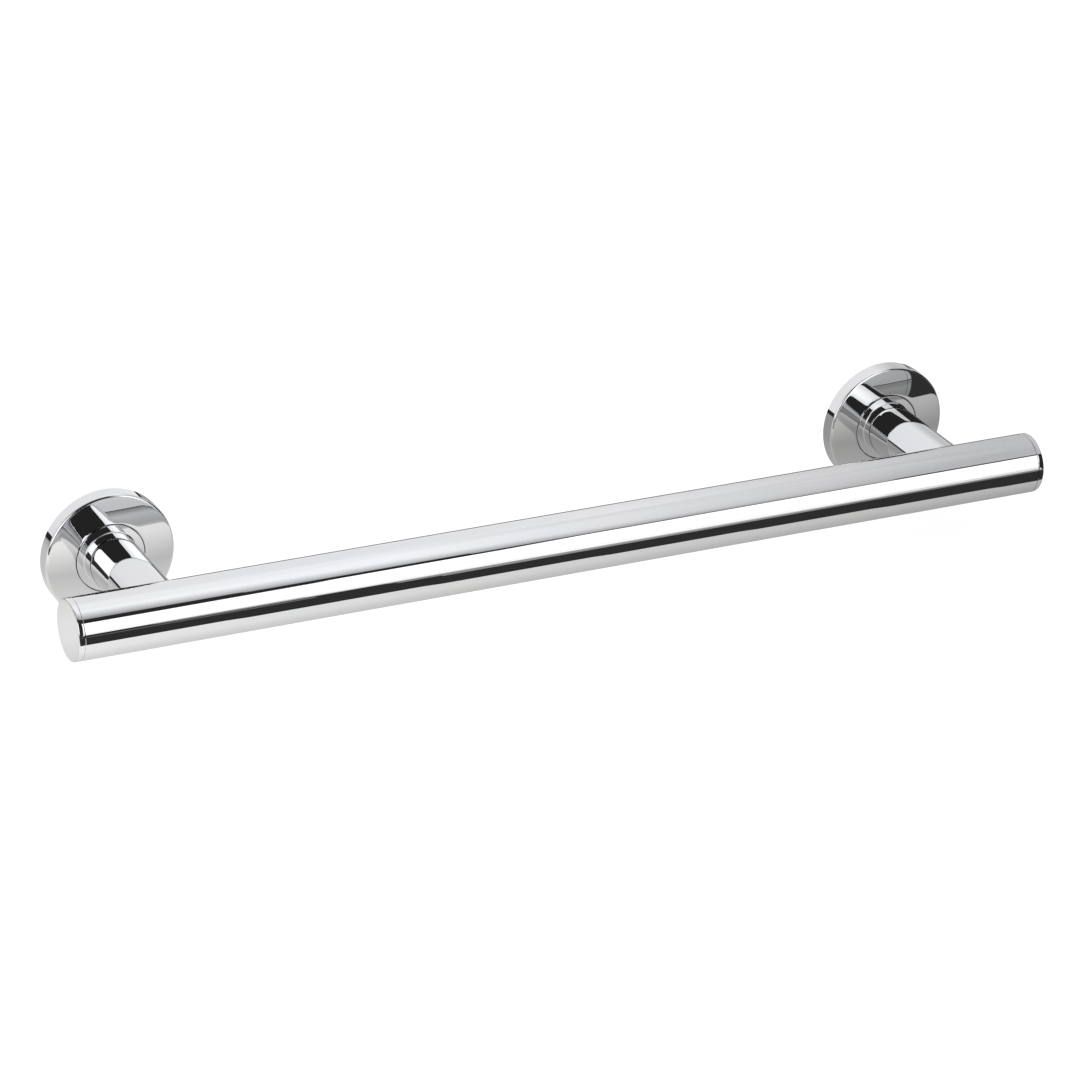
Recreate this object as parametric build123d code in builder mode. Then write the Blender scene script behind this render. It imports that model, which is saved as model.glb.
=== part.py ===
"""Chrome grab bar: a capped tube on two turned posts, each fixed to the wall under a round flange cover.

Millimetres, +Z up.  X runs along the bar and Y into the wall.  The wall is the plane Y = 0, and the
origin lies on it, midway between the two posts.
"""

import os

from build123d import *

# Bar
centre_distance = 450.0
end_overhang = 48.5
bar_diameter = 32.0
bar_wall = 1.5
bar_standoff = 77.5

# Flange covers
flange_diameter = 69.0
flange_thickness = 9.0
flange_edge_radius = 1.2
cover_wall = 1.5

# Posts: a shank that straddles the bar and a flush foot that fills the hole in the cover
post_diameter = 28.5
foot_diameter = 36.4
foot_gap = 0.35

# Wall plates, hidden under the covers
screw_head_room = 2.5
plate_rim_gap = 0.4
spigot_diameter = 17.0
spigot_height = 2.0
screw_count = 3
screw_hole_diameter = 5.5
screw_head_diameter = 10.5
countersink_angle = 90.0

# Square-cut rubber ring in the rim of each wall plate, which grips the cover
ring_section = 1.8
ring_side_gap = 0.2

# Tie bolts and the saddle nuts inside the bar
bolt_diameter = 8.0
bolt_head_diameter = 15.0
bolt_recess = 0.3
bolt_projection = 1.0
socket_across_flats = 5.0
socket_depth = 3.0
nut_length = 18.0
nut_thickness = 6.0

# End caps
cap_thickness = 3.3
cap_edge_radius = 0.8
cap_plug_length = 12.0
cap_plug_wall = 1.5
cap_plug_chamfer = 0.6

# Fits
bolt_clearance = 0.25
thread_clearance = 0.05
seat_clearance = 0.05
spigot_clearance = 0.1
edge_break = 0.2

# Radii and places that follow from the sizes above
bar_radius = bar_diameter / 2
bar_bore_radius = bar_radius - bar_wall
flange_radius = flange_diameter / 2
cover_bore_radius = flange_radius - cover_wall
post_radius = post_diameter / 2
foot_radius = foot_diameter / 2
spigot_radius = spigot_diameter / 2
bolt_radius = bolt_diameter / 2
bolt_hole_radius = bolt_radius + bolt_clearance
bolt_head_radius = bolt_head_diameter / 2
plate_radius = cover_bore_radius - plate_rim_gap
plate_thickness = flange_thickness - cover_wall - screw_head_room
screw_circle_radius = (foot_radius + plate_radius) / 2
nut_seat_height = bar_standoff - bar_bore_radius + seat_clearance
bolt_end_height = nut_seat_height + nut_thickness + bolt_projection
tube_half_length = centre_distance / 2 + end_overhang - cap_thickness
on_base = (Align.CENTER, Align.CENTER, Align.MIN)

os.makedirs("parts", exist_ok=True)


def write(piece, name):
    """Label a finished piece and write it as its own file."""
    piece.part.label = name
    export_step(piece.part, f"parts/{name}.step")


# Bar tube: open ends for the caps, and one bolt hole in its back behind each post
with BuildPart() as bar_tube:
    with BuildSketch(Plane.YZ.offset(-tube_half_length)):
        with Locations((-bar_standoff, 0)):
            Circle(bar_radius)
            Circle(bar_bore_radius, mode=Mode.SUBTRACT)
    extrude(amount=2 * tube_half_length)
    chamfer(bar_tube.edges().filter_by(GeomType.CIRCLE).group_by(SortBy.RADIUS)[-1], edge_break)
    with BuildSketch(Plane.XZ.offset(bar_standoff - bar_radius)):
        with GridLocations(centre_distance, 1, 2, 1):
            Circle(bolt_hole_radius)
    extrude(amount=bar_radius, mode=Mode.SUBTRACT)
write(bar_tube, "bar_tube")

for side, sign in (("left", -1), ("right", 1)):
    post_x = sign * centre_distance / 2

    # At each post: heights are counted from the wall outwards
    wall = Plane(origin=(post_x, 0, 0), x_dir=(1, 0, 0), z_dir=(0, -1, 0))
    bar_section = Plane(origin=(post_x, -bar_standoff, 0), x_dir=(0, 1, 0), z_dir=(1, 0, 0))

    # Wall plate: a disc with a spigot for the post, a rim groove and countersunk holes from both sides
    with BuildPart(wall) as wall_plate:
        Cylinder(plate_radius, plate_thickness, align=on_base)
        Cylinder(spigot_radius, plate_thickness + spigot_height, align=on_base)
        with BuildSketch(wall.offset(plate_thickness / 2)):
            Circle(plate_radius)
            Circle(cover_bore_radius - ring_section - 2 * seat_clearance, mode=Mode.SUBTRACT)
        extrude(amount=ring_section / 2 + ring_side_gap, both=True, mode=Mode.SUBTRACT)
        with Locations((0, 0, plate_thickness)):
            with PolarLocations(screw_circle_radius, screw_count, start_angle=90):
                CounterSinkHole(
                    screw_hole_diameter / 2, screw_head_diameter / 2, counter_sink_angle=countersink_angle
                )
        with Locations(Rotation(180, 0, 0)):
            CounterSinkHole(
                bolt_hole_radius,
                bolt_head_radius + bolt_recess + seat_clearance,
                counter_sink_angle=countersink_angle,
            )
    write(wall_plate, f"wall_plate_{side}")

    # Rubber ring: seated in the rim groove, against the bore of the cover
    with BuildPart() as cover_ring:
        with BuildSketch(wall.offset(plate_thickness / 2)):
            Circle(cover_bore_radius - seat_clearance)
            Circle(cover_bore_radius - seat_clearance - ring_section, mode=Mode.SUBTRACT)
        extrude(amount=ring_section / 2, both=True)
    write(cover_ring, f"cover_ring_{side}")

    # Flange cover: a shallow cup, open to the wall, with a round hole for the foot of the post
    with BuildPart(wall) as flange_cover:
        Cylinder(flange_radius, flange_thickness, align=on_base)
        face_edges = flange_cover.faces().sort_by(Axis.Y)[0].edges()
        fillet(face_edges, flange_edge_radius)
        Cylinder(cover_bore_radius, flange_thickness - cover_wall, align=on_base, mode=Mode.SUBTRACT)
        Hole(foot_radius + foot_gap)
        hole_edge = flange_cover.faces().sort_by(Axis.Y)[0].inner_wires()[0].edges()
        chamfer(hole_edge, edge_break)
    write(flange_cover, f"flange_cover_{side}")

    # Post: turned foot and shank, bored for the tie bolt, with a saddle cut to the bar
    with BuildPart(wall) as post:
        with Locations((0, 0, plate_thickness)):
            Cylinder(foot_radius, flange_thickness - plate_thickness, align=on_base)
        chamfer(post.faces().sort_by(Axis.Y)[0].edges(), edge_break)
        with Locations((0, 0, plate_thickness)):
            Cylinder(post_radius, bar_standoff - plate_thickness, align=on_base)
            Cylinder(
                spigot_radius + spigot_clearance,
                spigot_height + spigot_clearance,
                align=on_base,
                mode=Mode.SUBTRACT,
            )
        Hole(bolt_hole_radius)
        with BuildSketch(bar_section):
            Circle(bar_radius + seat_clearance)
        extrude(amount=foot_diameter, both=True, mode=Mode.SUBTRACT)
    write(post, f"post_{side}")

    # Tie bolt: countersunk in the back of the plate, up through the post and into the saddle nut
    with BuildPart(wall) as tie_bolt:
        with Locations((0, 0, bolt_recess)):
            Cone(bolt_head_radius, bolt_radius, bolt_head_radius - bolt_radius, align=on_base)
            Cylinder(bolt_radius, bolt_end_height - bolt_recess, align=on_base)
        with BuildSketch(wall.offset(bolt_recess)):
            RegularPolygon(socket_across_flats / 2, 6, major_radius=False)
        extrude(amount=socket_depth, mode=Mode.SUBTRACT)
        chamfer(tie_bolt.faces().sort_by(Axis.Y)[0].edges(), edge_break)
    write(tie_bolt, f"tie_bolt_{side}")

    # Saddle nut: a segment of a round bar that lies against the back of the tube's bore
    with BuildPart() as saddle_nut:
        with BuildSketch(bar_section):
            Circle(bar_bore_radius - seat_clearance)
            with Locations((bar_bore_radius - seat_clearance - nut_thickness, 0)):
                Rectangle(bar_diameter, bar_diameter, align=(Align.MAX, Align.CENTER), mode=Mode.SUBTRACT)
        extrude(amount=nut_length / 2, both=True)
        with Locations(wall.offset(nut_seat_height)):
            Hole(bolt_radius + thread_clearance)
    write(saddle_nut, f"saddle_nut_{side}")

    # End cap: a head as wide as the tube, rounded at its face, with a hollow plug in the tube's bore
    cap_seat = Plane(
        origin=(sign * tube_half_length, -bar_standoff, 0), x_dir=(0, 1, 0), z_dir=(sign, 0, 0)
    )
    with BuildPart(cap_seat) as end_cap:
        Cylinder(bar_radius, cap_thickness, align=on_base)
        head_edges = end_cap.edges().filter_by(GeomType.CIRCLE).sort_by(Axis.X, reverse=sign < 0)
        chamfer(head_edges[0], edge_break)
        fillet(head_edges[-1], cap_edge_radius)
        with BuildSketch(cap_seat):
            Circle(bar_bore_radius - seat_clearance)
        extrude(amount=-cap_plug_length)
        plug_end = end_cap.faces().sort_by(Axis.X, reverse=sign < 0)[0]
        chamfer(plug_end.edges(), cap_plug_chamfer)
        with BuildSketch(cap_seat):
            Circle(bar_bore_radius - seat_clearance - cap_plug_wall)
        extrude(amount=-cap_plug_length, mode=Mode.SUBTRACT)
    write(end_cap, f"end_cap_{side}")
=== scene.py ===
# %% [markdown]
# # A chrome grab bar
# A grab bar is a round steel tube that a hand can hold in a bath or shower. Two turned posts carry it,
# and each post stands on a round flange on the wall. Everything in view is mirror-bright chrome.
# The imported CAD model is loaded first, as a fixed frame.
# It is in metres: X runs along the bar, Y goes into the wall and Z is up.

import math

import bmesh
import bpy
from mathutils import Matrix, Vector


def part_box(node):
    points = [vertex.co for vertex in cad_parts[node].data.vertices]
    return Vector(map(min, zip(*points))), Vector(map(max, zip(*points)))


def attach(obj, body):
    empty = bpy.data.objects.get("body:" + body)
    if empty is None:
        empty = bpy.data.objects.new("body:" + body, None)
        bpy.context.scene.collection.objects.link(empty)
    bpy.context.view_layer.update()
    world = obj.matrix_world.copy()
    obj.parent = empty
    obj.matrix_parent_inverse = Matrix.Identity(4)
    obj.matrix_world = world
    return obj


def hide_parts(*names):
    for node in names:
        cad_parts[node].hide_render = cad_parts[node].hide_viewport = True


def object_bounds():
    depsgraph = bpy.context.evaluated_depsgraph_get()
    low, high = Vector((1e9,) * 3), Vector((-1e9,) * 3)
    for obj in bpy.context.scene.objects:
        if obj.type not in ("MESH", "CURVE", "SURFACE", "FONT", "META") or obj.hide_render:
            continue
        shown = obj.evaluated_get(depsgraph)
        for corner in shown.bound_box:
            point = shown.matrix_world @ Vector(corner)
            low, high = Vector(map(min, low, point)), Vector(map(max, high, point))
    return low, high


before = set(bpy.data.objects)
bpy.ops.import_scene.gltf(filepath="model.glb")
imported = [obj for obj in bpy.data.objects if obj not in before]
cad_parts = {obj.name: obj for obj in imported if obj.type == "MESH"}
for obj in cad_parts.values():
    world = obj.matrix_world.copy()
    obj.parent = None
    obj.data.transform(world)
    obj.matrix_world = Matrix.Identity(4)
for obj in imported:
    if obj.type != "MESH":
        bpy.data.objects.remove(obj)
cad_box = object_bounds()
print("CAD box", [tuple(round(value, 4) for value in corner) for corner in cad_box])
print("nodes:", ", ".join(sorted(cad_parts)))

# %% [markdown]
# ## The view
# The photograph was taken with a long lens from the left and above. Its place was found by matching the
# outline of the bar, the flanges and the seams, so the values below are a turn about the upright axis, a
# dip towards the floor and a small roll. A lens of 148 mm keeps the two ends nearly equal in size.

# %% Camera
photo_width = 1080
lens_in_pixels = 4435.2
sensor_width = 36.0
camera_place = Vector((-0.94063, -1.90141, 0.96812))
camera_turn = math.radians(-26.826)
camera_dip = math.radians(25.245)
camera_roll = math.radians(-2.278)

camera_data = bpy.data.cameras.new("camera")
camera_data.sensor_width = sensor_width
camera_data.lens = lens_in_pixels * sensor_width / photo_width
camera = bpy.data.objects.new("camera", camera_data)
bpy.context.collection.objects.link(camera)
upright = Matrix.Rotation(math.radians(90), 4, "X")
aim = Matrix.Rotation(camera_turn, 4, "Z") @ Matrix.Rotation(-camera_dip, 4, "X")
camera.matrix_world = Matrix.Translation(camera_place) @ aim @ Matrix.Rotation(camera_roll, 4, "Y") @ upright
bpy.context.scene.camera = camera
bpy.context.scene.view_settings.view_transform = "Standard"
print("lens", round(camera_data.lens, 2), "mm")

# %% [markdown]
# ## Helpers for turned pieces
# The tube, the caps, the posts and the covers are all turned shapes, so each could be drawn as half a
# section and spun. Here each starts as a ring of edges, which is drawn out and widened or narrowed step by
# step in edit mode, as a lathe operator works along a piece. That keeps every ring at a known place, so
# that it can be found again when its edge is rounded.

# %% Select pieces
def clear_selection():
    """Leave edit mode and select nothing, so that the next operator acts only on what it makes."""
    if bpy.context.object and bpy.context.object.mode == "EDIT":
        bpy.ops.object.mode_set(mode="OBJECT")
    bpy.ops.object.select_all(action="DESELECT")


def take(piece):
    """Select one object and make it the active one."""
    clear_selection()
    piece.select_set(True)
    bpy.context.view_layer.objects.active = piece


# %% Find rings again
mm = 0.001
round_steps = 256
ring_tolerance = 0.02 * mm
directions = {"X": Vector((1, 0, 0)), "Y": Vector((0, 1, 0))}
tilts = {"X": (0, math.pi / 2, 0), "Y": (math.pi / 2, 0, 0)}


def pick_rings(piece, axis, centre, rings):
    """Select the edges on these rings; a ring is its place along the axis and its radius."""
    bpy.ops.mesh.select_mode(type="EDGE")
    bpy.ops.mesh.select_all(action="DESELECT")
    mesh = bmesh.from_edit_mesh(piece.data)
    along = directions[axis]
    for vertex in mesh.verts:
        arm = vertex.co - centre
        place = arm.dot(along)
        radius = (arm - along * place).length
        vertex.tag = any(
            abs(place - ring_place) < ring_tolerance and abs(radius - ring_radius) < ring_tolerance
            for ring_place, ring_radius in rings
        )
    for edge in mesh.edges:
        edge.select_set(edge.verts[0].tag and edge.verts[1].tag)
    bmesh.update_edit_mesh(piece.data)


# %% Turn a piece
def turn(name, axis, centre, outline, hollow=True):
    """Draw a ring of edges along an outline of (place, radius) steps and close its two ends.

    A hollow piece is closed by a last wall from the end of the outline to its start. A solid one gets a
    flat disc at each end.
    """
    along = directions[axis]
    place, radius = outline[0]
    clear_selection()
    bpy.ops.mesh.primitive_circle_add(
        vertices=round_steps, radius=radius, location=centre + along * place, rotation=tilts[axis]
    )
    piece = bpy.context.object
    piece.name = name
    piece.data.name = name
    bpy.ops.object.transform_apply(location=True, rotation=True, scale=True)
    bpy.ops.object.mode_set(mode="EDIT")
    bpy.ops.mesh.select_all(action="SELECT")
    for next_place, next_radius in outline[1:]:
        shift = along * (next_place - place)
        bpy.ops.mesh.extrude_region_move(TRANSFORM_OT_translate={"value": shift})
        growth = next_radius / radius
        growths = (1, growth, growth) if axis == "X" else (growth, 1, growth)
        bpy.ops.transform.resize(value=growths, center_override=centre + along * next_place)
        place, radius = next_place, next_radius
    if hollow:
        pick_rings(piece, axis, centre, [outline[0], outline[-1]])
        bpy.ops.mesh.bridge_edge_loops()
    else:
        for end in (outline[0], outline[-1]):
            pick_rings(piece, axis, centre, [end])
            bpy.ops.mesh.edge_face_add()
    return piece


# %% Round a rim and finish a surface
merge_distance = 0.001 * mm
smooth_angle = math.radians(28)


def break_rims(piece, axis, centre, rings, width, steps):
    """Bevel the edges on these rings: one step gives a chamfer, more steps a rounded rim."""
    pick_rings(piece, axis, centre, rings)
    bpy.ops.mesh.bevel(offset=width, segments=steps, affect="EDGES", offset_type="OFFSET", profile=0.5)


def finish_surface(piece):
    """Merge doubles, face outwards, and shade so that curves are smooth and flat faces stay flat."""
    take(piece)
    bpy.ops.object.mode_set(mode="EDIT")
    bpy.ops.mesh.select_all(action="SELECT")
    bpy.ops.mesh.remove_doubles(threshold=merge_distance)
    bpy.ops.mesh.normals_make_consistent(inside=False)
    bpy.ops.object.mode_set(mode="OBJECT")
    bpy.ops.object.shade_smooth_by_angle(angle=smooth_angle)
    evener = piece.modifiers.new("even_facets", "WEIGHTED_NORMAL")
    evener.keep_sharp = True
    bpy.ops.object.modifier_apply(modifier=evener.name)
    triangles = sum(len(face.vertices) - 2 for face in piece.data.polygons)
    print(piece.name, triangles, "triangles")


# %% Cut with a round bar and copy a piece
def bore(piece, axis, centre, radius, length):
    """Cut a round hole through a piece with a Boolean, and remove the cutter."""
    clear_selection()
    bpy.ops.mesh.primitive_cylinder_add(
        vertices=round_steps, radius=radius, depth=length, location=centre, rotation=tilts[axis]
    )
    cutter = bpy.context.object
    take(piece)
    cut = piece.modifiers.new("bore", "BOOLEAN")
    cut.operation = "DIFFERENCE"
    cut.solver = "EXACT"
    cut.object = cutter
    bpy.ops.object.modifier_apply(modifier=cut.name)
    bpy.data.objects.remove(cutter, do_unlink=True)


def copy_piece(piece, name):
    """Copy a piece with a mesh of its own."""
    take(piece)
    bpy.ops.object.duplicate(linked=False)
    copied = bpy.context.object
    copied.name = name
    copied.data.name = name
    return copied


# %% [markdown]
# ## Mirror chrome
# Chrome plate is a hard bright metal over a polished surface, so its look is nearly all reflection. A plain
# mirror would look like computer glass, so the roughness varies a little over the surface, and a very low
# bump gives the long waves that polishing leaves. The colour shifts by a trace between cooler and warmer
# greys, and it is a fairly dark grey: chrome takes almost a third of the light at each reflection, so a
# mirrored mirror image is clearly dimmer. All of it reads Object coordinates, so it stays fixed to the metal.

# %% Material helpers
noise_low = 0.3
noise_high = 0.7


def new_material(name):
    """A material with its shader and the piece's own coordinates."""
    material = bpy.data.materials.new(name)
    material.use_nodes = True
    nodes = material.node_tree.nodes
    shader = nodes["Principled BSDF"]
    spot = nodes.new("ShaderNodeTexCoord")
    return material, shader, spot.outputs["Object"]


def add_noise(material, spot, scale, detail, stretch=(1, 1, 1)):
    """Noise over the surface; stretch above 1 makes it finer along that axis."""
    tree = material.node_tree
    mapping = tree.nodes.new("ShaderNodeMapping")
    mapping.inputs["Scale"].default_value = stretch
    tree.links.new(spot, mapping.inputs["Vector"])
    noise = tree.nodes.new("ShaderNodeTexNoise")
    noise.inputs["Scale"].default_value = scale
    noise.inputs["Detail"].default_value = detail
    tree.links.new(mapping.outputs["Vector"], noise.inputs["Vector"])
    return noise.outputs["Fac"]


def add_range(material, value, low, high):
    """Spread the middle of a noise over a range of values."""
    tree = material.node_tree
    spread = tree.nodes.new("ShaderNodeMapRange")
    spread.inputs["From Min"].default_value = noise_low
    spread.inputs["From Max"].default_value = noise_high
    spread.inputs["To Min"].default_value = low
    spread.inputs["To Max"].default_value = high
    tree.links.new(value, spread.inputs["Value"])
    return spread.outputs["Result"]


def add_tints(material, value, first, second):
    """Shade from one colour to another with a noise."""
    tree = material.node_tree
    ramp = tree.nodes.new("ShaderNodeValToRGB")
    ramp.color_ramp.elements[0].position = noise_low
    ramp.color_ramp.elements[0].color = (*first, 1)
    ramp.color_ramp.elements[1].position = noise_high
    ramp.color_ramp.elements[1].color = (*second, 1)
    tree.links.new(value, ramp.inputs["Fac"])
    return ramp.outputs["Color"]


def add_bump(material, shader, value, height):
    """Raise the surface by up to this height, in metres."""
    tree = material.node_tree
    bump = tree.nodes.new("ShaderNodeBump")
    bump.inputs["Strength"].default_value = 1.0
    bump.inputs["Distance"].default_value = height
    tree.links.new(value, bump.inputs["Height"])
    tree.links.new(bump.outputs["Normal"], shader.inputs["Normal"])


# %% Polished chrome
cool_grey = (0.69, 0.70, 0.72)
warm_grey = (0.71, 0.71, 0.71)
wave_height = 0.006 * mm
polished_chrome, shader, spot = new_material("polished_chrome")
shader.inputs["Metallic"].default_value = 1.0
links = polished_chrome.node_tree.links
haze = add_noise(polished_chrome, spot, scale=24.0, detail=4.0)
links.new(add_range(polished_chrome, haze, low=0.008, high=0.03), shader.inputs["Roughness"])
drift = add_noise(polished_chrome, spot, scale=9.0, detail=2.0)
links.new(add_tints(polished_chrome, drift, cool_grey, warm_grey), shader.inputs["Base Color"])
waves = add_noise(polished_chrome, spot, scale=14.0, detail=1.0)
add_bump(polished_chrome, shader, waves, wave_height)
print("made", polished_chrome.name)

# %% [markdown]
# ## The tube
# The bar is a 32 mm tube with a wall of 1.5 mm. A long cylinder with an inner wall would do, but its rims
# need a fine chamfer, which makes the dark seam against the caps. Behind each post the tube has a bolt hole.
# The tube is cut across on both sides of each hole first, so that the hole disturbs only a short stretch.

# %% Tube
bar_radius = 16.0 * mm
bar_bore = 14.5 * mm
tube_half = 270.2 * mm
post_x = 225.0 * mm
edge_break = 0.2 * mm
guard_cut = 10 * mm
bar_centre = Vector((0, -77.5 * mm, 0))

bar_tube = turn(
    "chrome_tube",
    "X",
    bar_centre,
    [(-tube_half, bar_radius), (tube_half, bar_radius), (tube_half, bar_bore), (-tube_half, bar_bore)],
)
tube_rims = [(-tube_half, bar_radius), (tube_half, bar_radius)]
break_rims(bar_tube, "X", bar_centre, tube_rims, edge_break, 1)
for side in (-1, 1):
    for step in (-guard_cut, guard_cut):
        bpy.ops.mesh.select_all(action="SELECT")
        cut_place = Vector((side * post_x + step, 0, 0))
        bpy.ops.mesh.bisect(plane_co=cut_place, plane_no=(1, 0, 0))
bpy.ops.object.mode_set(mode="OBJECT")

bolt_hole = 4.25 * mm
for side in (-1, 1):
    bore(bar_tube, "Y", bar_centre + Vector((side * post_x, bar_radius, 0)), bolt_hole, 2 * bar_radius)
finish_surface(bar_tube)

# %% [markdown]
# ## The end caps
# Each end is closed by a flat turned cap as wide as the tube, with a hollow plug that holds it in the bore.
# The photograph shows the cap's seam about 3 mm from the end and a bright rounded edge round its face. The
# cap's side falls off a little towards the face, as polishing leaves it, and the seam is a fine groove, so
# that it draws a dark line. One cap is drawn out from its face, and the other is a copy turned half round
# about the middle of the bar.

# %% Caps
cap_face = 273.5 * mm
plug_end = 258.2 * mm
plug_radius = 14.45 * mm
plug_bore = 12.95 * mm
plug_chamfer = 0.6 * mm
cap_round = 0.8 * mm
rim_steps = 6
seam_width = 0.15 * mm
seam_floor = 15.2 * mm
seam_land = 0.4 * mm
side_fall = 0.12 * mm
fall_shares = (1.0, 0.6, 0.45, 0.3, 0.15, 0.0)
seam_edge = tube_half + seam_width
side_start = seam_edge + seam_land
cap_side = []
for share in fall_shares:
    cap_side.append((side_start + share * (cap_face - side_start), bar_radius - side_fall * share**2))
cap_right = turn(
    "chrome_cap_right",
    "X",
    bar_centre,
    [
        *cap_side,
        (seam_edge, bar_radius),
        (seam_edge, seam_floor),
        (tube_half, seam_floor),
        (tube_half, plug_radius),
        (plug_end, plug_radius),
        (plug_end, plug_bore),
        (tube_half, plug_bore),
    ],
    hollow=False,
)
break_rims(cap_right, "X", bar_centre, [(plug_end, plug_radius)], plug_chamfer, 1)
break_rims(cap_right, "X", bar_centre, [(seam_edge, bar_radius)], edge_break / 2, 1)
break_rims(cap_right, "X", bar_centre, cap_side[:1], cap_round, rim_steps)
cap_left = copy_piece(cap_right, "chrome_cap_left")
bpy.ops.object.mode_set(mode="EDIT")
bpy.ops.mesh.select_all(action="SELECT")
bpy.ops.transform.rotate(value=math.pi, orient_axis="Z", center_override=bar_centre)
finish_surface(cap_right)
finish_surface(cap_left)

# %% [markdown]
# ## The posts
# A post is turned from bar: a round shank and, against the wall, a wider foot that lies flush in the face of
# the cover. Its fine edge is the circle that shows in each flange, and a small fillet draws a second line at
# the root of the shank. The front end is a saddle that fits the tube, cut here by a Boolean with a round bar
# in the tube's place. The bore takes the bolt.

# %% Posts
post_radius = 14.25 * mm
foot_radius = 18.2 * mm
flange_face = -9.0 * mm
plate_face = -5.0 * mm
recess_end = -7.1 * mm
recess_radius = 8.6 * mm
post_centre = Vector((post_x, 0, 0))
post_right = turn(
    "chrome_post_right",
    "Y",
    post_centre,
    [
        (plate_face, recess_radius),
        (plate_face, foot_radius),
        (flange_face, foot_radius),
        (flange_face, post_radius),
        (bar_centre.y, post_radius),
        (bar_centre.y, bolt_hole),
        (recess_end, bolt_hole),
        (recess_end, recess_radius),
    ],
)
foot_round = 0.3 * mm
foot_steps = 3
root_fillet = 0.6 * mm
fillet_steps = 4
break_rims(post_right, "Y", post_centre, [(flange_face, foot_radius)], foot_round, foot_steps)
break_rims(post_right, "Y", post_centre, [(flange_face, post_radius)], root_fillet, fillet_steps)
bpy.ops.mesh.select_all(action="SELECT")
bpy.ops.mesh.normals_make_consistent(inside=False)
bpy.ops.object.mode_set(mode="OBJECT")
seat_gap = 0.05 * mm
saddle_length = 60 * mm
bore(post_right, "X", bar_centre + Vector((post_x, 0, 0)), bar_radius + seat_gap, saddle_length)
post_left = copy_piece(post_right, "chrome_post_left")
bpy.ops.transform.translate(value=(-2 * post_x, 0, 0))
bpy.ops.object.transform_apply(location=True, rotation=True, scale=True)
finish_surface(post_right)
finish_surface(post_left)

# %% [markdown]
# ## The flange covers
# The cover is a shallow cup pressed from sheet: a flat face with a hole for the foot, and a rim that reaches
# the wall. It hides the wall plate and its screws. The face mirrors the post and the bar, and the place of
# the mirrored bar in the photograph shows that it isn't quite flat: pressing leaves a low crown, less than
# half a millimetre high, and polishing a soft edge at the hole and at the rim. A flat face would look too
# exact, so the face is drawn out in rings whose heights follow these three curves.

# %% Covers
flange_radius = 34.5 * mm
cover_bore = 33.0 * mm
cover_inside = -7.5 * mm
foot_hole = 18.55 * mm
crown_radius = 900 * mm
hole_soft = 2.2 * mm
hole_fall = 0.06 * mm
rim_soft = 3.0 * mm
rim_fall = 0.08 * mm
rim_round = 1.2 * mm


def face_height(radius):
    """Place of the cover's face at this radius: a low crown with soft edges at the hole and the rim."""
    crown = (radius**2 - foot_hole**2) / (2 * crown_radius)
    hole_share = max(0.0, 1 - (radius - foot_hole) / hole_soft)
    rim_share = max(0.0, 1 - (flange_radius - radius) / rim_soft)
    return flange_face + crown + hole_fall * hole_share**2 + rim_fall * rim_share**2, radius


ring_count = 24
rim_margin = 1.3 * rim_round
last_ring = flange_radius - rim_margin
cover_face = [face_height(flange_radius)]
for step in range(ring_count + 1):
    cover_face.append(face_height(last_ring + (foot_hole - last_ring) * step / ring_count))
cover_right = turn(
    "chrome_cover_right",
    "Y",
    post_centre,
    [
        (0.0, flange_radius),
        *cover_face,
        (cover_inside, foot_hole),
        (cover_inside, cover_bore),
        (0.0, cover_bore),
    ],
)
break_rims(cover_right, "Y", post_centre, cover_face[-1:], foot_round, foot_steps)
break_rims(cover_right, "Y", post_centre, cover_face[:1], rim_round, rim_steps)
cover_left = copy_piece(cover_right, "chrome_cover_left")
bpy.ops.transform.translate(value=(-2 * post_x, 0, 0))
bpy.ops.object.transform_apply(location=True, rotation=True, scale=True)
finish_surface(cover_right)
finish_surface(cover_left)

# %% [markdown]
# ## Chrome in place of the CAD shapes
# On the real bar, the tube, the caps, the posts and the covers are all plated alike. Each smooth piece takes
# the place of one CAD node, and the largest difference between their boxes is printed: it shows that a piece
# is where the CAD says. Drawing a finer skin over the CAD shape would do too, but then two surfaces would lie
# on each other.

# %% Hand the chrome pieces to the frame
chrome_pieces = {
    "bar_tube": bar_tube,
    "end_cap_left": cap_left,
    "end_cap_right": cap_right,
    "post_left": post_left,
    "post_right": post_right,
    "flange_cover_left": cover_left,
    "flange_cover_right": cover_right,
}
for node, piece in chrome_pieces.items():
    piece.data.materials.clear()
    piece.data.materials.append(polished_chrome)
    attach(piece, "root")
    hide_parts(node)
    low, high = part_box(node)
    differences = []
    for axis in range(3):
        places = [vertex.co[axis] for vertex in piece.data.vertices]
        differences.append(abs(min(places) - low[axis]))
        differences.append(abs(max(places) - high[axis]))
    largest = round(max(differences) / mm, 3)
    print(piece.name, "stands for", node, "and differs from its box by", largest, "mm")

# %% [markdown]
# ## Steel and rubber behind the covers
# The wall plates are plain stainless sheet with the grain of the rolling mill, the bolts and nuts are zinc
# plated, and the rings are matt black rubber. Their CAD shapes are right as they are, so they only get
# finishes: long fine grain, a mottled plating, and a dull grainy surface.

# %% Plate steel
grain_height = 0.02 * mm
dull_steel = (0.58, 0.58, 0.57)
bright_steel = (0.66, 0.66, 0.65)
plate_steel, shader, spot = new_material("plate_steel")
shader.inputs["Metallic"].default_value = 1.0
links = plate_steel.node_tree.links
grain = add_noise(plate_steel, spot, scale=60.0, detail=6.0, stretch=(1, 30, 30))
links.new(add_range(plate_steel, grain, low=0.3, high=0.45), shader.inputs["Roughness"])
links.new(add_tints(plate_steel, grain, dull_steel, bright_steel), shader.inputs["Base Color"])
add_bump(plate_steel, shader, grain, grain_height)
print("made", plate_steel.name)

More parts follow.
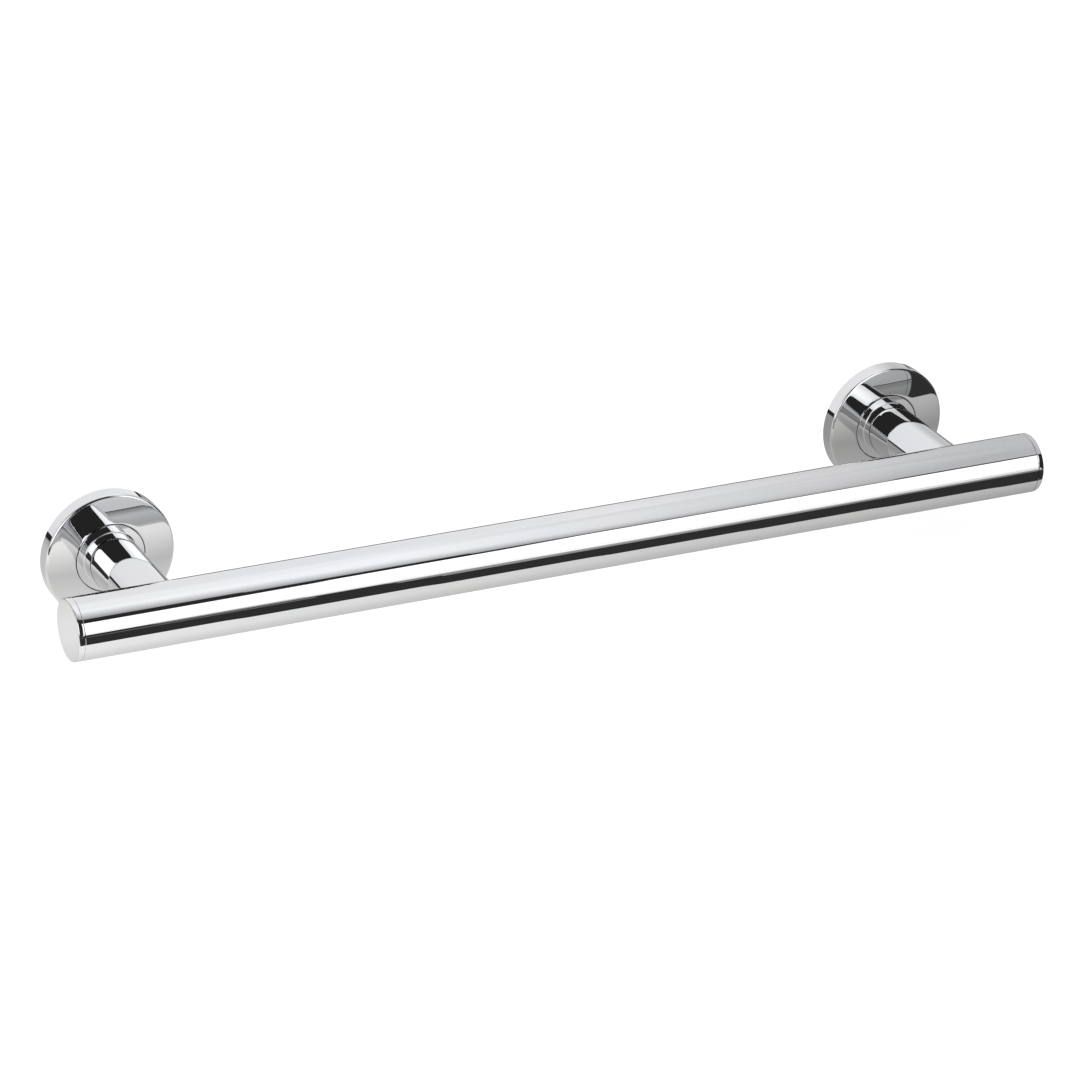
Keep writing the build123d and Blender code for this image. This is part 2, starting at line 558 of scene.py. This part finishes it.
# %% Bolt steel
mottle_height = 0.01 * mm
blue_zinc = (0.52, 0.53, 0.56)
yellow_zinc = (0.6, 0.59, 0.56)
bolt_steel, shader, spot = new_material("bolt_steel")
shader.inputs["Metallic"].default_value = 1.0
links = bolt_steel.node_tree.links
mottle = add_noise(bolt_steel, spot, scale=300.0, detail=5.0)
links.new(add_range(bolt_steel, mottle, low=0.3, high=0.5), shader.inputs["Roughness"])
links.new(add_tints(bolt_steel, mottle, blue_zinc, yellow_zinc), shader.inputs["Base Color"])
add_bump(bolt_steel, shader, mottle, mottle_height)
print("made", bolt_steel.name)

# %% Ring rubber
dust_height = 0.02 * mm
clean_black = (0.035, 0.035, 0.036)
dusty_black = (0.06, 0.06, 0.058)
ring_rubber, shader, spot = new_material("ring_rubber")
links = ring_rubber.node_tree.links
dust = add_noise(ring_rubber, spot, scale=900.0, detail=4.0)
links.new(add_range(ring_rubber, dust, low=0.6, high=0.85), shader.inputs["Roughness"])
links.new(add_tints(ring_rubber, dust, clean_black, dusty_black), shader.inputs["Base Color"])
add_bump(ring_rubber, shader, dust, dust_height)
print("made", ring_rubber.name)

# %% Give the CAD nodes their finishes
hidden_finishes = {
    "wall_plate": plate_steel,
    "tie_bolt": bolt_steel,
    "saddle_nut": bolt_steel,
    "cover_ring": ring_rubber,
}
for kind, finish in hidden_finishes.items():
    for side in ("left", "right"):
        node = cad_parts[f"{kind}_{side}"]
        if not node.material_slots:
            node.data.materials.append(finish)
        for material_slot in node.material_slots:
            material_slot.material = finish
    print(kind, "gets", finish.name)

# %% [markdown]
# ## Floor, sky and a soft lamp
# The object stands on a pale floor in an even white room. To the camera the floor is white, and it still
# takes a soft shadow, because part of its light is real light that falls on it. The world is white for the
# camera and for the metal alike.

# %% Floor
floor_gap = 1.0 * mm
floor_size = 16.0
lit_grey = 0.25
own_white = 0.85
floor_height = cad_box[0][2] - floor_gap
clear_selection()
bpy.ops.mesh.primitive_plane_add(size=floor_size, location=(0, 0, floor_height))
floor = bpy.context.object
floor.name = "floor"
floor_paint = bpy.data.materials.new("floor_paint")
floor_paint.use_nodes = True
nodes = floor_paint.node_tree.nodes
links = floor_paint.node_tree.links
nodes.remove(nodes["Principled BSDF"])
lit_part = nodes.new("ShaderNodeBsdfDiffuse")
lit_part.inputs["Color"].default_value = (lit_grey, lit_grey, lit_grey, 1)
white_part = nodes.new("ShaderNodeEmission")
white_part.inputs["Strength"].default_value = own_white
rays = nodes.new("ShaderNodeLightPath")
seen = nodes.new("ShaderNodeMath")
seen.operation = "MAXIMUM"
links.new(rays.outputs["Is Camera Ray"], seen.inputs[0])
links.new(rays.outputs["Is Glossy Ray"], seen.inputs[1])
shown_white = nodes.new("ShaderNodeMixShader")
nothing = nodes.new("ShaderNodeEmission")
nothing.inputs["Strength"].default_value = 0.0
links.new(seen.outputs["Value"], shown_white.inputs["Fac"])
links.new(nothing.outputs["Emission"], shown_white.inputs[1])
links.new(white_part.outputs["Emission"], shown_white.inputs[2])
both = nodes.new("ShaderNodeAddShader")
links.new(lit_part.outputs["BSDF"], both.inputs[0])
links.new(shown_white.outputs["Shader"], both.inputs[1])
links.new(both.outputs["Shader"], nodes["Material Output"].inputs["Surface"])
floor.data.materials.append(floor_paint)
print("floor at", round(floor_height / mm, 2), "mm")

# %% World and lamp
world = bpy.data.worlds.new("white_room")
bpy.context.scene.world = world
world.use_nodes = True
world.node_tree.nodes["Background"].inputs["Color"].default_value = (1, 1, 1, 1)
world.node_tree.nodes["Background"].inputs["Strength"].default_value = 1.0

lamp_data = bpy.data.lights.new("overhead_softbox", "AREA")
lamp_data.shape = "SQUARE"
lamp_data.size = 1.5
lamp_data.energy = 12.0
lamp = bpy.data.objects.new("overhead_softbox", lamp_data)
bpy.context.collection.objects.link(lamp)
lamp.location = (-0.4, -0.4, 2.0)
lamp.rotation_euler = (math.radians(-11), math.radians(-11), 0)
lamp.visible_glossy = False
lamp.visible_camera = False
print("world and lamp are set")

# %% [markdown]
# ## Cards for the metal to reflect
# A chrome piece is photographed by arranging what it mirrors: white softboxes, a pale table top and black
# cards that draw the dark lines. The cards here do the same. They are stage pieces that only the metal's
# reflections see, so they put no light on anything and throw no shadow. Each is one plane whose four
# corners are set, in metres, and its glow may fade along a direction in the room. Real lamps and walls would
# do too, but they would also light the floor and change the shadow.

# %% Card helper
def card(name, corners, glow, fades=(), tint=(1, 1, 1)):
    """A glowing card, seen only in reflections.

    A fade is (direction, from, to, glow from, glow to), measured along that direction in the room.
    """
    clear_selection()
    bpy.ops.mesh.primitive_plane_add(size=1.0)
    plane = bpy.context.object
    plane.name = name
    for vertex, corner in zip(plane.data.vertices, corners):
        vertex.co = corner
    plane.visible_camera = False
    plane.visible_diffuse = False
    plane.visible_shadow = False
    plane.visible_volume_scatter = False
    paint = bpy.data.materials.new(name)
    paint.use_nodes = True
    tree = paint.node_tree
    tree.nodes.remove(tree.nodes["Principled BSDF"])
    light = tree.nodes.new("ShaderNodeEmission")
    light.inputs["Color"].default_value = (*tint, 1)
    light.inputs["Strength"].default_value = glow
    level = None
    scale = glow
    for direction, start, end, first, last in fades:
        place = tree.nodes.new("ShaderNodeTexCoord")
        reach = tree.nodes.new("ShaderNodeVectorMath")
        reach.operation = "DOT_PRODUCT"
        reach.inputs[1].default_value = direction
        tree.links.new(place.outputs["Object"], reach.inputs[0])
        fade = tree.nodes.new("ShaderNodeMapRange")
        fade.inputs["From Min"].default_value = start
        fade.inputs["From Max"].default_value = end
        fade.inputs["To Min"].default_value = first * scale
        fade.inputs["To Max"].default_value = last * scale
        scale = 1.0
        tree.links.new(reach.outputs["Value"], fade.inputs["Value"])
        if level is None:
            level = fade.outputs["Result"]
        else:
            product = tree.nodes.new("ShaderNodeMath")
            product.operation = "MULTIPLY"
            tree.links.new(level, product.inputs[0])
            tree.links.new(fade.outputs["Result"], product.inputs[1])
            level = product.outputs["Value"]
    if level is not None:
        tree.links.new(level, light.inputs["Strength"])
    tree.links.new(light.outputs["Emission"], tree.nodes["Material Output"].inputs["Surface"])
    plane.data.materials.append(paint)
    print("card", name)


def flat_corners(low_x, high_x, front_left, front_right, back, height):
    """Corners of a level card whose front edge may run at a slant."""
    return [
        (low_x, front_left, height),
        (high_x, front_right, height),
        (low_x, back, height),
        (high_x, back, height),
    ]


# %% [markdown]
# ## The table and the floor in front of it
# The pale underside of the bar and the lower part of each flange mirror a table top that ends a little in
# front of the bar, and the black line below the white band mirrors the dark floor before it. Two weak strips
# and a glow on that floor draw the grey fringe of the black line. The pale cards glow a little above 1,
# because the metal returns only about seven tenths of what it mirrors. The table top's glow holds painted
# light and shade: it falls off towards the right as if a lamp on the left lit it, and a painted shadow of the
# bar lies across it under the bar.

# %% Table top and dark floor
along_x = (1, 0, 0)
along_y = (0, 1, 0)
upwards = (0, 0, 1)
room_glow = 1.23
dark_floor_glow = 0.037
warm_white = (1.0, 0.995, 0.98)
backdrop_y = 0.62
table_height = floor_height + 0.6 * mm
dark_height = floor_height + 0.3 * mm
card(
    "table_top",
    flat_corners(-1.5, 1.5, -0.1873, -0.0667, backdrop_y, table_height),
    room_glow,
    fades=[
        # painted light: the glow falls off towards the right and the back, as from a lamp on the left
        ((1, 1.5, 0), -0.45, 0.25, 0.95, 0.42),
        # painted shadow of the bar on the table, deepest about 66 mm in front of the wall, under the bar
        (along_y, -0.105, -0.066, 1.0, 0.68),
        # the painted shadow of the bar fades out again towards the wall
        (along_y, -0.066, -0.020, 1.0, 1.4),
        (along_y, 0.0, 0.05, 1.0, 0.8),
        (along_x, -0.35, -0.285, 1.06, 1.0),
    ],
    tint=warm_white,
)
card("dark_floor", flat_corners(-4.0, 4.0, -2.4, -2.4, 0.0, dark_height), dark_floor_glow)
card(
    "front_strip_left",
    flat_corners(-0.6, -0.05, -0.365, -0.365, -0.30, table_height),
    room_glow,
    fades=[(along_x, -0.2, -0.09, 0.09, 0.2)],
)
card(
    "front_strip_right",
    flat_corners(0.0, 1.0, -0.36, -0.36, -0.262, table_height),
    room_glow,
    fades=[(along_x, 0.22, 0.3, 0.32, 0.22)],
)
card(
    "front_glow",
    [
        (0.02, -2.0, table_height),
        (1.45, -2.0, table_height),
        (0.05, -0.36, table_height),
        (0.46, -0.36, table_height),
    ],
    room_glow,
    fades=[(along_x, 0.05, 0.36, 0.3, 1.0), (along_y, -0.8, -0.36, 1.0, 0.5)],
)

# %% [markdown]
# ## Dark sides of the room
# Black between white areas is what makes chrome look like chrome. Here it comes from one dark wall in front
# and one on the right, with a little glow left in them, since a real studio is never quite black.

# %% Dark room
dark_front_glow = 0.031
dark_right_glow = 0.015
front_y = -2.5
right_x = 2.6
wall_low = -0.1
wall_high = 7.0
card(
    "dark_front",
    [
        (-4.0, front_y, wall_low),
        (4.0, front_y, wall_low),
        (-4.0, front_y, wall_high),
        (4.0, front_y, wall_high),
    ],
    dark_front_glow,
)
card(
    "dark_right",
    [
        (right_x, front_y, wall_low),
        (right_x, 0.3, wall_low),
        (right_x, front_y, wall_high),
        (right_x, 0.3, wall_high),
    ],
    dark_right_glow,
)

# %% [markdown]
# ## A strip light for the bar
# The long white band on the bar mirrors a light that reaches from end to end. A large distant softbox would
# show in the posts as well, where the photograph has other stripes. So the band has a strip of its own, just
# in front of the bar and hardly higher than it, where the bar hides it from everything behind. Its upper edge
# rises towards the right, and the strip is made of three cards to follow it.

# %% Strip light along the bar
strip_y = -0.0965
strip_low = 0.0038
strip_tops = [(-0.2688, 0.0143), (-0.1153, 0.0146), (0.0652, 0.0167), (0.2765, 0.0170)]
strip_feet = [-0.2702, -0.1134, 0.0684, 0.2718]
for index in range(len(strip_feet) - 1):
    top_left, top_right = strip_tops[index], strip_tops[index + 1]
    card(
        f"strip_light_{index + 1}",
        [
            (strip_feet[index], strip_y, strip_low),
            (strip_feet[index + 1], strip_y, strip_low),
            (top_left[0], strip_y, top_left[1]),
            (top_right[0], strip_y, top_right[1]),
        ],
        room_glow,
        fades=[(upwards, 0.003, 0.0064, 0.9, 1.4)],
    )

# %% [markdown]
# ## Softboxes for the posts
# Each post shows white stripes that have been mirrored twice, by the flange and by the post. One softbox
# stands in front on the right and one on the left. Their distance matters, because the two posts see the same
# edges from places 450 mm apart: it sets how much the stripes differ between them. As two reflections dim
# them, the softboxes glow twice as bright as white paper.

# %% Softboxes for the posts
softbox_glow = 2.0
softbox_right_y = -0.6
card(
    "softbox_right",
    [
        (0.04, softbox_right_y, 0.0),
        (0.45, softbox_right_y, 0.0),
        (0.01, softbox_right_y, 0.46),
        (0.64, softbox_right_y, 0.54),
    ],
    softbox_glow,
    fades=[
        (along_x, 0.02, 0.16, 0.72, 1.0),
        (along_x, 0.25, 0.55, 1.0, 0.62),
        (upwards, 0.38, 0.47, 1.0, 0.8),
    ],
)
softbox_left_y = -0.8
softbox_left_parts = {
    "softbox_left_low": [(-1.54, -0.02), (-0.783, -0.02), (-1.54, 0.347), (-0.608, 0.347)],
    "softbox_left_high": [(-1.54, 0.347), (-0.608, 0.347), (-1.54, 0.85), (-0.69, 0.85)],
}
for name, corners in softbox_left_parts.items():
    card(name, [(x, softbox_left_y, z) for x, z in corners], softbox_glow)

# %% [markdown]
# ## Backdrop and ceiling
# The top of the bar, the upper sides of the posts and the flanges' rims mirror a pale backdrop behind the
# table and a ceiling above. Both are a trace cooler than the table and darken towards the right. The dark
# edge at the back of the table draws a fine dark line in the bar's mirror image.

# %% Backdrop and ceiling
cool_white = (0.985, 0.985, 1.0)
back_edge_glow = 0.025
backdrop_low = -0.05
backdrop_high = 1.5
card(
    "backdrop",
    [
        (-3.0, backdrop_y, backdrop_low),
        (right_x, backdrop_y, backdrop_low),
        (-3.0, backdrop_y, backdrop_high),
        (right_x, backdrop_y, backdrop_high),
    ],
    room_glow,
    fades=[
        ((1, 0, -0.36), 0.24, 0.57, 0.865, 0.58),
        (upwards, 0.3, 1.2, 1.0, 1.06),
        (along_x, -0.85, -0.6, 0.7, 1.0),
    ],
    tint=cool_white,
)
edge_y = backdrop_y - 0.01
card(
    "table_back_edge",
    [(-1.6, edge_y, -0.04), (1.0, edge_y, -0.04), (-1.6, edge_y, 0.05), (1.0, edge_y, 0.005)],
    back_edge_glow,
)
ceiling_height = 1.2
ceiling_back = 0.5
ceiling_split = 0.7
ceiling_parts = {
    "ceiling_left": flat_corners(-2.0, ceiling_split, -0.024, -1.10, ceiling_back, ceiling_height),
    "ceiling_right": flat_corners(ceiling_split, right_x, -1.10, -0.85, ceiling_back, ceiling_height),
}
for name, corners in ceiling_parts.items():
    card(
        name,
        corners,
        room_glow,
        fades=[
            (along_x, 0.38, 0.95, 1.06, 0.54),
            ((0.86, 1, 0), -0.68, -0.10, 0.36, 1.0),
            ((-0.8, 1, 0), -0.3, -0.15, 1.0, 0.94),
            ((1, 0.5, 0), 0.78, 0.95, 1.0, 1.1),
        ],
        tint=cool_white,
    )
